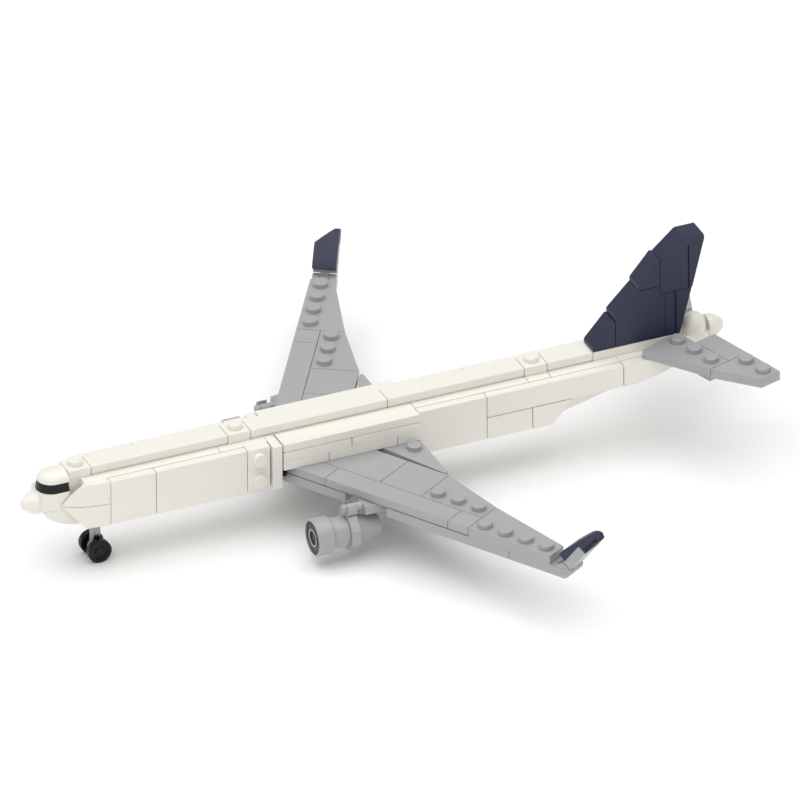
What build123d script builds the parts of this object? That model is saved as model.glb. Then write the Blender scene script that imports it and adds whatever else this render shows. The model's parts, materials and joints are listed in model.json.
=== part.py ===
from build123d import *
import math
import os

os.makedirs("parts", exist_ok=True)

# A desktop airliner assembled from interlocking moulded bricks.
# +X is the nose, +Y the port side, +Z up; the origin is on the table, midway along the model.
# Stations run aft from the seam between the nose cheeks and the first side tile;
# heights run up from the flat belly.

# ---- brick system -------------------------------------------------------------
PITCH = 8.0
PLATE = 3.2
SEAM = 0.1
STUD_RADIUS = 2.4
STUD_HEIGHT = 1.7
STUD_EDGE = 0.2
TILE_GROOVE = 0.4
EDGE = 0.15
WALL = 1.5
ROOF = 1.1
POST_RADIUS = 1.6
POST_MARGIN = 0.9
BAR_RADIUS = 1.59
CLIP_WALL = 1.0
RUNNING_FIT = 0.05

# ---- driving dimensions of the airliner ----------------------------------------
BELLY_HEIGHT = 17.0
BODY_HEIGHT = 5 * PLATE
CORE_HALF = PITCH / 2
STRIP_HALF = CORE_HALF + PLATE
SKIN_HALF = STRIP_HALF + PLATE
FAIRING_HALF = CORE_HALF + PITCH
RIDGE_TOP = BODY_HEIGHT + PLATE

FRONT_SKIN_END = 56.0
RING_START = FRONT_SKIN_END + 0.4
FAIRING_START = 60.0
FAIRING_END = 108.0
TAIL_START = 180.0
TAIL_END = TAIL_START + 3 * PITCH
FIN_START = TAIL_START - PITCH
LOWER_TILE_END = TAIL_START - 4 * PITCH
REAR_TILE_END = LOWER_TILE_END - 2 * PITCH
COCKPIT_REAR = -12.0
STRIP_START = -8.0

NOSE_FACE = -21.6
NOSE_CONE_LENGTH = 5.6
NOSE_CONE_RADIUS = 4.0
NOSE_HALF = 5.3
NOSE_FACE_HALF = 4.5
NOSE_TAPER = 5.5
NOSE_AXIS = BODY_HEIGHT / 2 + 0.3
COCKPIT_RADIUS = 5.2

WING_SWEEP = 31.65
WING_STUD = (99.33, 45.70)
STAB_SWEEP = 18.0
STAB_STUD = (TAIL_START + 19.8, 8.6)

ENGINE_SIDE = 34.5
ENGINE_DROP = PITCH
ENGINE_REACH = 21.0
COWL_RADIUS = 6.2
COWL_LENGTH = 5.7
BARREL_RADIUS = 5.0
BARREL_LENGTH = 5.6
BRACKET_RADIUS = 6.6
TAILPIPE_RADIUS = 5.0
TAILPIPE_END_RADIUS = 3.4
TAILPIPE_LENGTH = 8.0
PYLON_ROW = -9.73
BAR_REACH = 10.6

WINGLET_CANT = 53.7
HINGE_OUT = 57.0
HINGE_RADIUS = 2.6
FINGER_WIDTH = 3.0

WHEEL_RADIUS = 4.0
WHEEL_WIDTH = 2.3
AXLE_RADIUS = 1.2
STRUT_HALF = 1.2
NOSE_GEAR_STATION = -1.2
MAIN_GEAR_STATION = 108.0
MAIN_GEAR_SIDE = 8.0

SIDES = (("left", 1), ("right", -1))


def turned(sweep):
    """Return the outboard and aft unit directions of a swept stud grid, as (station, side)."""
    angle = math.radians(sweep)
    return (math.sin(angle), math.cos(angle)), (math.cos(angle), -math.sin(angle))


def grid_point(stud, sweep, out, aft):
    """Return the station and side of a place that lies out and aft of a grid's first stud, in mm."""
    outboard, chord = turned(sweep)
    return (
        stud[0] + out * outboard[0] + aft * chord[0],
        stud[1] + out * outboard[1] + aft * chord[1],
    )


def station_on_row(stud, sweep, side, aft):
    """Return the station where the row that lies aft of a grid's first stud crosses a side, in mm."""
    angle = math.radians(sweep)
    return stud[0] + ((side - stud[1]) * math.sin(angle) + aft) / math.cos(angle)


# Each engine hangs under its wing's front row of studs, so it moves aft as it moves outboard.
PYLON_STATION = station_on_row(WING_STUD, WING_SWEEP, ENGINE_SIDE, PYLON_ROW)
ENGINE_FACE = PYLON_STATION - ENGINE_REACH
BAR_FRONT = PYLON_STATION - BAR_REACH

# The tail's corner furthest aft is the stabiliser tip, so the origin is halfway to the nose.
TAIL_TIP = grid_point(STAB_STUD, STAB_SWEEP, 4.5 * PITCH - SEAM, 1.5 * PITCH - SEAM)[0]
MIDDLE = (NOSE_FACE - NOSE_CONE_LENGTH + TAIL_TIP) / 2


def at(station, side=0.0, height=0.0):
    """Return the model-frame point of a station, side and height."""
    return (MIDDLE - station, side, BELLY_HEIGHT + height)


def slab(stations, sides, heights, edge=EDGE):
    """Add a block between two stations, sides and heights, with its edges broken."""
    low = at(stations[1], sides[0], heights[0])
    high = at(stations[0], sides[1], heights[1])
    size = [b - a for a, b in zip(low, high)]
    block = Box(*size, mode=Mode.PRIVATE).solid()
    if edge > 0:
        block = block.chamfer(edge, None, block.edges())
    centre = tuple((a + b) / 2 for a, b in zip(low, high))
    with Locations(centre):
        add(block)


def tile(stations, sides, heights, foot):
    """Add a smooth tile whose foot, at the bottom or at the low or high side, is set back."""
    start, end = stations
    inner, outer = sides
    bottom, top = heights
    if foot == "bottom":
        slab((start + SEAM, end - SEAM), (inner + SEAM, outer - SEAM), (bottom + TILE_GROOVE, top))
        back = SEAM + TILE_GROOVE
        slab(
            (start + back, end - back),
            (inner + back, outer - back),
            (bottom, bottom + 2 * TILE_GROOVE),
            0,
        )
        return
    lip = TILE_GROOVE if foot == "low" else -TILE_GROOVE
    skin = (inner + lip, outer) if foot == "low" else (inner, outer + lip)
    base = (inner, inner + 2 * lip) if foot == "low" else (outer + 2 * lip, outer)
    slab((start + SEAM, end - SEAM), skin, (bottom + SEAM, top - SEAM))
    back = SEAM + TILE_GROOVE
    slab((start + back, end - back), base, (bottom + back, top - back), 0)


def side_span(sign, inner, outer):
    """Return the low and high side of a piece that lies from inner to outer on one side."""
    return (inner, outer) if sign > 0 else (-outer, -inner)


def stud(centre, direction=(0, 0, 1)):
    """Add a round stud that stands on a face in the given direction."""
    with Locations(Plane(origin=centre, z_dir=direction)):
        Cylinder(STUD_RADIUS, STUD_HEIGHT - STUD_EDGE, align=(Align.CENTER, Align.CENTER, Align.MIN))
    top = tuple(c + d * (STUD_HEIGHT - STUD_EDGE) for c, d in zip(centre, direction))
    with Locations(Plane(origin=top, z_dir=direction)):
        Cone(
            STUD_RADIUS,
            STUD_RADIUS - STUD_EDGE,
            STUD_EDGE,
            align=(Align.CENTER, Align.CENTER, Align.MIN),
        )


def outline(points):
    """Draw a filled outline through points inside the current sketch."""
    Polygon(*points, align=None)


def side_plane(sign, distance):
    """Return the upright plane at one side, whose x runs aft and whose y runs up."""
    return Plane(origin=at(0, sign * distance), x_dir=(-1, 0, 0), z_dir=(0, 1, 0))


def save(builder, label):
    """Label a finished piece and write it as one STEP file."""
    builder.part.label = label
    export_step(builder.part, f"parts/{label}.step")


# ---- nose -----------------------------------------------------------------------
with BuildPart() as nose_cone:
    with BuildSketch(Plane(origin=at(NOSE_FACE, 0, NOSE_AXIS), x_dir=(1, 0, 0), z_dir=(0, -1, 0))):
        with BuildLine():
            Line((0, 0), (0, NOSE_CONE_RADIUS))
            Line((0, NOSE_CONE_RADIUS), (1.0, NOSE_CONE_RADIUS))
            Spline(
                (1.0, NOSE_CONE_RADIUS),
                (NOSE_CONE_LENGTH - 1.4, 0.58 * NOSE_CONE_RADIUS),
                (NOSE_CONE_LENGTH, 0),
                tangents=((1.0, -0.3), (0, -1)),
            )
            Line((NOSE_CONE_LENGTH, 0), (0, 0))
        make_face()
    revolve(axis=Axis(at(NOSE_FACE, 0, NOSE_AXIS), (1, 0, 0)))
save(nose_cone, "nose_cone")

NOSE_BLOCK_BOTTOM = 2 * PLATE
NOSE_BLOCK_TOP = 4 * PLATE
with BuildPart() as nose_block:
    with BuildSketch(Plane.XY.offset(BELLY_HEIGHT + NOSE_BLOCK_BOTTOM)):
        outline([
            at(NOSE_FACE, -NOSE_FACE_HALF)[:2],
            at(NOSE_FACE, NOSE_FACE_HALF)[:2],
            at(NOSE_FACE + NOSE_TAPER, NOSE_HALF)[:2],
            at(COCKPIT_REAR - SEAM, NOSE_HALF)[:2],
            at(COCKPIT_REAR - SEAM, -NOSE_HALF)[:2],
            at(NOSE_FACE + NOSE_TAPER, -NOSE_HALF)[:2],
        ])
    extrude(amount=NOSE_BLOCK_TOP - NOSE_BLOCK_BOTTOM)
    chamfer(nose_block.faces().sort_by(Axis.Z)[-1].edges(), EDGE)
save(nose_block, "nose_block")

BELLY_NOSE = NOSE_FACE + 1.2
BELLY_NOSE_RISE = 4.9
BELLY_CURVE = (NOSE_FACE + 6.2, 1.6)
with BuildPart() as nose_belly:
    with BuildSketch(side_plane(1, 0)):
        with BuildLine():
            Line((BELLY_NOSE, NOSE_BLOCK_BOTTOM), (BELLY_NOSE, BELLY_NOSE_RISE))
            ThreePointArc((BELLY_NOSE, BELLY_NOSE_RISE), BELLY_CURVE, (STRIP_START - SEAM, 0))
            Line((STRIP_START - SEAM, 0), (STRIP_START - SEAM, NOSE_BLOCK_BOTTOM))
            Line((STRIP_START - SEAM, NOSE_BLOCK_BOTTOM), (BELLY_NOSE, NOSE_BLOCK_BOTTOM))
        make_face()
    extrude(amount=NOSE_HALF, both=True)
save(nose_belly, "nose_belly")

with BuildPart() as windshield:
    with BuildSketch(Plane.XY.offset(BELLY_HEIGHT + NOSE_BLOCK_TOP)):
        with Locations(at(NOSE_FACE + COCKPIT_RADIUS)[:2]):
            Circle(COCKPIT_RADIUS)
        straight = COCKPIT_REAR - SEAM - NOSE_FACE - COCKPIT_RADIUS
        with Locations(at(NOSE_FACE + COCKPIT_RADIUS + straight / 2)[:2]):
            Rectangle(straight, 2 * COCKPIT_RADIUS)
        with Locations(at(COCKPIT_REAR - SEAM + COCKPIT_RADIUS)[:2]):
            Rectangle(2 * COCKPIT_RADIUS, 2 * COCKPIT_RADIUS, mode=Mode.SUBTRACT)
    extrude(amount=PLATE, taper=8)
save(windshield, "windshield")

CANOPY_RADIUS = COCKPIT_RADIUS - 0.4
CANOPY_RIM = 0.3
QUARTER_ROUND = 0.5523
canopy_centre = at(NOSE_FACE + COCKPIT_RADIUS, 0, BODY_HEIGHT)


def canopy_section():
    """Draw half of the canopy's rounded cross-section, from its middle out to its rim."""
    Line((0, 0), (CANOPY_RADIUS, 0))
    Line((CANOPY_RADIUS, 0), (CANOPY_RADIUS, CANOPY_RIM))
    Bezier(
        (CANOPY_RADIUS, CANOPY_RIM),
        (CANOPY_RADIUS, CANOPY_RIM + QUARTER_ROUND * (PLATE - CANOPY_RIM)),
        (QUARTER_ROUND * CANOPY_RADIUS, PLATE),
        (0, PLATE),
    )
    Line((0, PLATE), (0, 0))


with BuildPart() as canopy:
    # A half dome in front runs on into a straight half-round roof.
    with BuildSketch(Plane(origin=canopy_centre, x_dir=(0, 1, 0), z_dir=(1, 0, 0))) as section:
        with BuildLine():
            canopy_section()
        make_face()
    extrude(amount=-straight)
    mirror(about=Plane.XZ)
    revolve(section.sketch, axis=Axis(canopy_centre, (0, 0, -1)), revolution_arc=180)
save(canopy, "canopy")

CHEEK_TIP = -15.0
CHEEK_SHOULDER = -8.0
CHEEK_GAP = 0.5
for side_name, sign in SIDES:
    with BuildPart() as cheeks:
        with BuildSketch(Plane.XY.offset(BELLY_HEIGHT)):
            with BuildLine():
                Spline(
                    at(-SEAM, sign * SKIN_HALF)[:2],
                    at(CHEEK_SHOULDER, sign * (SKIN_HALF - 1.1))[:2],
                    at(CHEEK_TIP, sign * (NOSE_HALF + 0.7))[:2],
                    tangents=((1, 0), (0.75, -0.6 * sign)),
                )
                Polyline(
                    at(CHEEK_TIP, sign * (NOSE_HALF + 0.7))[:2],
                    at(CHEEK_TIP, sign * (NOSE_HALF + CHEEK_GAP))[:2],
                    at(COCKPIT_REAR, sign * (NOSE_HALF + CHEEK_GAP))[:2],
                    at(STRIP_START - 1, sign * STRIP_HALF)[:2],
                    at(-SEAM, sign * STRIP_HALF)[:2],
                    at(-SEAM, sign * SKIN_HALF)[:2],
                )
            make_face()
        extrude(amount=BODY_HEIGHT - SEAM)
        with BuildSketch(side_plane(1, 0)):
            outline([
                (0, SEAM),
                (0, BODY_HEIGHT),
                (CHEEK_SHOULDER, BODY_HEIGHT),
                (CHEEK_TIP - 0.6, BODY_HEIGHT / 2),
                (CHEEK_SHOULDER, SEAM),
            ])
        extrude(amount=2 * SKIN_HALF, both=True, mode=Mode.INTERSECT)
        with Locations(at(CHEEK_SHOULDER, sign * SKIN_HALF, BODY_HEIGHT / 2)):
            Box(4 * PITCH, 4 * PITCH, 2 * SEAM, mode=Mode.SUBTRACT)
    save(cheeks, f"cheeks_{side_name}")

# ---- core of one-wide bricks with studs on their sides ------------------------------
CORE_HALF_REAL = CORE_HALF - SEAM
RING_END = RING_START + PLATE
with BuildPart() as front_core:
    slab((COCKPIT_REAR, RING_START), (-CORE_HALF, CORE_HALF), (NOSE_BLOCK_BOTTOM, BODY_HEIGHT), 0)
    slab((STRIP_START, RING_START), (-CORE_HALF, CORE_HALF), (0, NOSE_BLOCK_BOTTOM), 0)
save(front_core, "front_core")

with BuildPart() as centre_core:
    slab((RING_END, FAIRING_END), (-CORE_HALF, CORE_HALF), (0, BODY_HEIGHT), 0)
save(centre_core, "centre_core")

TAIL_FLOOR = BODY_HEIGHT / 2
TAIL_CURVE = (TAIL_START + 13.0, TAIL_FLOOR + 1.9)
TAIL_LIP = 1.4
with BuildPart() as rear_core:
    slab((FAIRING_END + SEAM, LOWER_TILE_END), (-CORE_HALF, CORE_HALF), (0, BODY_HEIGHT), 0)
    slab((LOWER_TILE_END, TAIL_START), (-CORE_HALF, CORE_HALF), (TAIL_FLOOR, BODY_HEIGHT), 0)
    with BuildSketch(side_plane(1, 0)):
        with BuildLine():
            Line((TAIL_END, BODY_HEIGHT), (TAIL_START, BODY_HEIGHT))
            Line((TAIL_START, BODY_HEIGHT), (TAIL_START, TAIL_FLOOR))
            ThreePointArc((TAIL_START, TAIL_FLOOR), TAIL_CURVE, (TAIL_END, BODY_HEIGHT - TAIL_LIP))
            Line((TAIL_END, BODY_HEIGHT - TAIL_LIP), (TAIL_END, BODY_HEIGHT))
        make_face()
    extrude(amount=CORE_HALF, both=True)
save(rear_core, "rear_core")

STRIP_RUNS = (
    (STRIP_START, 40.0, 0),
    (40.0, RING_START - SEAM, 0),
    (FAIRING_END, LOWER_TILE_END, 0),
    (LOWER_TILE_END, LOWER_TILE_END + PITCH, TAIL_FLOOR),
    (LOWER_TILE_END + PITCH, TAIL_START, TAIL_FLOOR),
)
with BuildPart() as core_side_plates:
    for start, end, floor in STRIP_RUNS:
        for sign in (1, -1):
            slab(
                (start + SEAM, end - SEAM),
                side_span(sign, CORE_HALF, STRIP_HALF),
                (floor + SEAM, BODY_HEIGHT - SEAM),
                0,
            )
    # The strips beside the tail follow its rounded underside.
    for inner in (CORE_HALF, -STRIP_HALF + SEAM):
        with BuildSketch(side_plane(1, inner)):
            with BuildLine():
                Line((TAIL_START, BODY_HEIGHT), (TAIL_START, TAIL_FLOOR))
                ThreePointArc((TAIL_START, TAIL_FLOOR), TAIL_CURVE, (TAIL_END, BODY_HEIGHT - TAIL_LIP))
                Line((TAIL_END, BODY_HEIGHT - TAIL_LIP), (TAIL_END, BODY_HEIGHT))
                Line((TAIL_END, BODY_HEIGHT), (TAIL_START, BODY_HEIGHT))
            make_face()
        extrude(amount=PLATE - SEAM)
save(core_side_plates, "core_side_plates")

# ---- ridge ---------------------------------------------------------------------------
JUMPERS = (COCKPIT_REAR, 44.0, LOWER_TILE_END)
with BuildPart() as ridge_jumpers:
    for start in JUMPERS:
        slab(
            (start + SEAM, start + PITCH - SEAM),
            (-CORE_HALF_REAL, CORE_HALF_REAL),
            (BODY_HEIGHT, RIDGE_TOP),
        )
        stud(at(start + PITCH / 2, 0, RIDGE_TOP))
save(ridge_jumpers, "ridge_jumpers")

RIDGE_TILES = (
    (COCKPIT_REAR + PITCH, 44.0),
    (52.0, 100.0),
    (100.0, LOWER_TILE_END),
    (LOWER_TILE_END + PITCH, FIN_START),
)
with BuildPart() as ridge_tiles:
    for start, end in RIDGE_TILES:
        tile((start, end), (-CORE_HALF, CORE_HALF), (BODY_HEIGHT, RIDGE_TOP), "bottom")
save(ridge_tiles, "ridge_tiles")

FIN_END = FIN_START + 30.6
with BuildPart() as fin_base_plate:
    slab(
        (FIN_START + SEAM, FIN_END),
        (-CORE_HALF_REAL, CORE_HALF_REAL),
        (BODY_HEIGHT, RIDGE_TOP),
    )
save(fin_base_plate, "fin_base_plate")

# ---- side skin -------------------------------------------------------------------------
STUD_PLATE_START = 48.0
for side_name, sign in SIDES:
    span = side_span(sign, STRIP_HALF, SKIN_HALF)
    foot = "low" if sign > 0 else "high"
    with BuildPart() as front_side_tiles:
        tile((0.0, 2 * PITCH), span, (0, BODY_HEIGHT), foot)
        tile((2 * PITCH, STUD_PLATE_START), span, (0, BODY_HEIGHT), foot)
    save(front_side_tiles, f"front_side_tiles_{side_name}")

with BuildPart() as side_stud_plates:
    for sign in (1, -1):
        slab(
            (STUD_PLATE_START + SEAM, FRONT_SKIN_END - SEAM),
            side_span(sign, STRIP_HALF, SKIN_HALF),
            (SEAM, BODY_HEIGHT - SEAM),
        )
        for height in (PITCH / 2, 3 * PITCH / 2):
            stud(at(STUD_PLATE_START + PITCH / 2, sign * SKIN_HALF, height), (0, sign, 0))
save(side_stud_plates, "side_stud_plates")

with BuildPart() as ring_plate:
    slab(
        (RING_START, RING_END),
        (-FAIRING_HALF + SEAM, FAIRING_HALF - SEAM),
        (SEAM, BODY_HEIGHT - SEAM),
    )
save(ring_plate, "ring_plate")

FAIRING_ROWS = (
    (3 * PLATE, (FAIRING_START, 84.0, FAIRING_END)),
    (2 * PLATE, (FAIRING_START, 76.0, 100.0, FAIRING_END)),
)
for side_name, sign in SIDES:
    span = side_span(sign, CORE_HALF, FAIRING_HALF)
    with BuildPart() as fairing:
        tile((FAIRING_START, FAIRING_END), span, (4 * PLATE, BODY_HEIGHT), "bottom")
        for floor, breaks in FAIRING_ROWS:
            for start, end in zip(breaks, breaks[1:]):
                slab(
                    (start + SEAM, end - SEAM),
                    (span[0] + SEAM, span[1] - SEAM),
                    (floor, floor + PLATE),
                )
    save(fairing, f"fairing_{side_name}")

KEEL_SLOPE_START = 7.1
KEEL_SLOPE_END = 14.0
for side_name, sign in SIDES:
    span = side_span(sign, STRIP_HALF, SKIN_HALF)
    foot = "low" if sign > 0 else "high"
    with BuildPart() as rear_side_tiles:
        tile((FAIRING_END, REAR_TILE_END), span, (0, BODY_HEIGHT), foot)
        tile((REAR_TILE_END, TAIL_START), span, (TAIL_FLOOR, BODY_HEIGHT), foot)
        tile((REAR_TILE_END, LOWER_TILE_END), span, (0, TAIL_FLOOR), foot)
        inner = STRIP_HALF if sign > 0 else -SKIN_HALF
        with BuildSketch(side_plane(1, inner)):
            outline([
                (LOWER_TILE_END + SEAM, SEAM),
                (LOWER_TILE_END + KEEL_SLOPE_START, SEAM),
                (LOWER_TILE_END + KEEL_SLOPE_END, TAIL_FLOOR - SEAM),
                (LOWER_TILE_END + SEAM, TAIL_FLOOR - SEAM),
            ])
        extrude(amount=PLATE)
        with BuildSketch(side_plane(1, inner)):
            with BuildLine():
                Line((TAIL_START + SEAM, BODY_HEIGHT - SEAM), (TAIL_START + SEAM, TAIL_FLOOR + SEAM))
                ThreePointArc(
                    (TAIL_START + SEAM, TAIL_FLOOR + SEAM),
                    (TAIL_CURVE[0], TAIL_CURVE[1] + SEAM),
                    (TAIL_END - SEAM, BODY_HEIGHT - TAIL_LIP + SEAM),
                )
                Line((TAIL_END - SEAM, BODY_HEIGHT - TAIL_LIP + SEAM), (TAIL_END - SEAM, BODY_HEIGHT - SEAM))
                Line((TAIL_END - SEAM, BODY_HEIGHT - SEAM), (TAIL_START + SEAM, BODY_HEIGHT - SEAM))
            make_face()
        extrude(amount=PLATE)
    save(rear_side_tiles, f"rear_side_tiles_{side_name}")

with BuildPart() as belly_wedge:
    with BuildSketch(side_plane(1, 0)):
        outline([
            (LOWER_TILE_END + SEAM, 0),
            (LOWER_TILE_END + 4, 0),
            (TAIL_START - SEAM, TAIL_FLOOR - 1.0),
            (TAIL_START - SEAM, TAIL_FLOOR),
            (LOWER_TILE_END + SEAM, TAIL_FLOOR),
        ])
    extrude(amount=STRIP_HALF - SEAM, both=True)
save(belly_wedge, "belly_wedge")

# ---- tail end ----------------------------------------------------------------------------
DOME_STATION = TAIL_END + 5.0
DOME_RADIUS = 4.2
DOME_BOTTOM = 17.0
DOME_RIM = 0.9
DOME_RISE = 5.5
TAIL_AXIS = 17.2
TAIL_CONE_START = DOME_STATION + DOME_RADIUS + SEAM
TAIL_CONE_LENGTH = 5.9
TAIL_CONE_RADIUS = 3.9
NECK_HALF = 3.0
NECK_BOTTOM = 12.8
with BuildPart() as tail_cone:
    slab(
        (TAIL_END + SEAM, TAIL_CONE_START + 1.0),
        (-NECK_HALF, NECK_HALF),
        (NECK_BOTTOM, DOME_BOTTOM - SEAM),
        0,
    )
    cone_plane = Plane(origin=at(TAIL_CONE_START, 0, TAIL_AXIS), x_dir=(-1, 0, 0), z_dir=(0, 1, 0))
    with BuildSketch(cone_plane):
        with BuildLine():
            Line((0, 0), (0, TAIL_CONE_RADIUS))
            Line((0, TAIL_CONE_RADIUS), (1.6, TAIL_CONE_RADIUS))
            Spline(
                (1.6, TAIL_CONE_RADIUS),
                (TAIL_CONE_LENGTH - 1.2, 0.6 * TAIL_CONE_RADIUS),
                (TAIL_CONE_LENGTH, 0),
                tangents=((1, -0.25), (0, -1)),
            )
            Line((TAIL_CONE_LENGTH, 0), (0, 0))
        make_face()
    revolve(axis=Axis(at(TAIL_CONE_START, 0, TAIL_AXIS), (1, 0, 0)))
save(tail_cone, "tail_cone")

with BuildPart() as tail_dome:
    dome_plane = Plane(origin=at(DOME_STATION, 0, DOME_BOTTOM), x_dir=(1, 0, 0), z_dir=(0, -1, 0))
    with BuildSketch(dome_plane):
        with BuildLine():
            Line((0, 0), (DOME_RADIUS, 0))
            Line((DOME_RADIUS, 0), (DOME_RADIUS, DOME_RIM))
            Bezier(
                (DOME_RADIUS, DOME_RIM),
                (DOME_RADIUS, DOME_RIM + QUARTER_ROUND * DOME_RISE),
                (QUARTER_ROUND * DOME_RADIUS, DOME_RIM + DOME_RISE),
                (0, DOME_RIM + DOME_RISE),
            )
            Line((0, DOME_RIM + DOME_RISE), (0, 0))
        make_face()
    revolve(axis=Axis(at(DOME_STATION, 0, DOME_BOTTOM), (0, 0, 1)))
save(tail_dome, "tail_dome")

# ---- fin -----------------------------------------------------------------------------------
FIN_FOOT = RIDGE_TOP
FIN_FIRST = RIDGE_TOP + 3 * PLATE
FIN_SECOND = RIDGE_TOP + 6 * PLATE
FIN_THIRD = RIDGE_TOP + 9 * PLATE
FIN_TOP = RIDGE_TOP + 11 * PLATE
FIN_SPLIT = RIDGE_TOP + 5 * PLATE
FIN_LIP = 1.4
FIN_CREST = 0.6
FIN_MIDDLE_START = FIN_START + PITCH
FIN_SLOPE_RUN = 8.1
FIN_JOINT = FIN_START + 23.8
FIN_REAR_START = FIN_START + 25.6
FIN_REAR_SPLIT = FIN_START + 35.0
FIN_TIP = FIN_START + 39.4
FIN_TOP_DROP = 0.6
FIN_TIP_CUT = 0.4
FIN_SLOT = 0.6
FIN_SLOT_DEPTH = 0.6
FIN_HALF = CORE_HALF - SEAM


def fin_slot(station, bottom, top):
    """Cut the upright slot that shows on both faces of the fin."""
    for sign in (1, -1):
        with Locations(at(station, sign * FIN_HALF, (bottom + top) / 2)):
            Box(FIN_SLOT, 2 * FIN_SLOT_DEPTH, top - bottom, mode=Mode.SUBTRACT)


with BuildPart() as fin_slope_front:
    with BuildSketch(side_plane(1, 0)):
        outline([
            (FIN_START + SEAM, FIN_FOOT),
            (FIN_START + SEAM, FIN_FOOT + FIN_LIP),
            (FIN_MIDDLE_START - SEAM - FIN_CREST, FIN_FIRST - SEAM),
            (FIN_MIDDLE_START - SEAM, FIN_FIRST - SEAM),
            (FIN_MIDDLE_START - SEAM, FIN_FOOT),
        ])
    extrude(amount=FIN_HALF, both=True)
    chamfer(fin_slope_front.edges(), EDGE)
save(fin_slope_front, "fin_slope_front")

SLOPE_START = FIN_MIDDLE_START + FIN_SLOPE_RUN
with BuildPart() as fin_middle:
    with BuildSketch(side_plane(1, 0)):
        outline([
            (FIN_MIDDLE_START, FIN_FOOT),
            (FIN_MIDDLE_START, FIN_FIRST + FIN_LIP),
            (SLOPE_START, FIN_SECOND - SEAM),
            (FIN_JOINT - SEAM, FIN_SECOND - SEAM),
            (FIN_JOINT - SEAM, FIN_SPLIT),
            (FIN_REAR_START - SEAM, FIN_SPLIT),
            (FIN_REAR_START - SEAM, FIN_FOOT),
        ])
    extrude(amount=FIN_HALF, both=True)
    chamfer(fin_middle.edges(), EDGE)
save(fin_middle, "fin_middle")

with BuildPart() as fin_slope_upper:
    with BuildSketch(side_plane(1, 0)):
        outline([
            (SLOPE_START + SEAM, FIN_SECOND),
            (SLOPE_START + SEAM, FIN_SECOND + FIN_LIP),
            (FIN_JOINT - SEAM - FIN_CREST, FIN_THIRD - SEAM),
            (FIN_JOINT - SEAM, FIN_THIRD - SEAM),
            (FIN_JOINT - SEAM, FIN_SECOND),
        ])
    extrude(amount=FIN_HALF, both=True)
    chamfer(fin_slope_upper.edges(), EDGE)
save(fin_slope_upper, "fin_slope_upper")

with BuildPart() as fin_top:
    with BuildSketch(side_plane(1, 0)):
        outline([
            (FIN_JOINT, FIN_SPLIT + SEAM),
            (FIN_JOINT, FIN_THIRD - FIN_TOP_DROP),
            (FIN_JOINT + FIN_SLOPE_RUN, FIN_TOP),
            (FIN_TIP - FIN_TIP_CUT, FIN_TOP),
            (FIN_TIP, FIN_TOP - PLATE / 2),
            (FIN_REAR_SPLIT, FIN_SPLIT + SEAM),
        ])
    extrude(amount=FIN_HALF, both=True)
    chamfer(fin_top.edges(), EDGE)
    fin_slot(FIN_REAR_SPLIT - 1.3, FIN_SPLIT, FIN_TOP - PLATE)
save(fin_top, "fin_top")

with BuildPart() as fin_rear:
    with BuildSketch(side_plane(1, 0)):
        outline([
            (FIN_REAR_START, FIN_FOOT),
            (FIN_REAR_START, FIN_SPLIT),
            (FIN_REAR_SPLIT - 0.2, FIN_SPLIT),
            (FIN_END, FIN_FOOT),
        ])
    extrude(amount=FIN_HALF, both=True)
    chamfer(fin_rear.edges(), EDGE)
    fin_slot(FIN_END - 1.6, FIN_FOOT, FIN_SPLIT)
save(fin_rear, "fin_rear")

# ---- swept stud grids ---------------------------------------------------------------------
# A wing or stabiliser is laid out on its own turned stud grid: distances in studs, outboard
# and aft from its innermost stud. The port side is built and mirrored for starboard.


def swept_plane(first_stud, sweep, height):
    """Return the port plane of a swept grid, whose x runs outboard and whose y runs aft."""
    out = turned(sweep)[0]
    return Plane(origin=at(*first_stud, height), x_dir=(-out[0], out[1], 0), z_dir=(0, 0, 1))


def plate_prism(plane, points, back, bottom, thickness, mode=Mode.ADD):
    """Add or cut an upright prism whose outline in studs is drawn back by a distance."""
    corners = [plane.from_local_coords(Vector(PITCH * x, PITCH * y, bottom)) for x, y in points]
    rim = Wire.make_polygon(corners, close=True)
    if back:
        rim = rim.offset_2d(-back, kind=Kind.INTERSECTION)
    extrude(Face(rim), amount=thickness, dir=(0, 0, 1), mode=mode)


def swept_tile(plane, points):
    """Add a smooth tile with a set-back foot on a swept grid."""
    plate_prism(plane, points, SEAM + TILE_GROOVE, 0, 2 * TILE_GROOVE)
    plate_prism(plane, points, SEAM, TILE_GROOVE, PLATE - TILE_GROOVE)


def swept_studs(plane, places):
    """Add studs on top of a plate on a swept grid."""
    for out, aft in places:
        centre = plane.from_local_coords(Vector(PITCH * out, PITCH * aft, PLATE))
        stud(tuple(centre))


def hollow_plate(plane, points, posts):
    """Add a plate with a hollow underside and posts that stand down between the studs."""
    plate_prism(plane, points, SEAM, 0, PLATE)
    plate_prism(plane, points, SEAM + WALL, 0, PLATE - ROOF, Mode.SUBTRACT)
    for out, aft in posts:
        with Locations(plane.from_local_coords(Vector(PITCH * out, PITCH * aft, 0))):
            Cylinder(POST_RADIUS, PLATE - 0.2, align=(Align.CENTER, Align.CENTER, Align.MIN))


def posts_between(inner, outer, row):
    """Return the places of posts midway between the studs of a run, clear of its end walls."""
    first = math.ceil(inner + POST_MARGIN - 0.5)
    last = math.floor(outer - POST_MARGIN - 0.5)
    return [(count + 0.5, row) for count in range(first, last + 1)]


def band(inner, outer, front, rear):
    """Return a rectangle on a swept grid from its inner, outer, front and rear edges."""
    return [(inner, front), (outer, front), (outer, rear), (inner, rear)]


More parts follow.
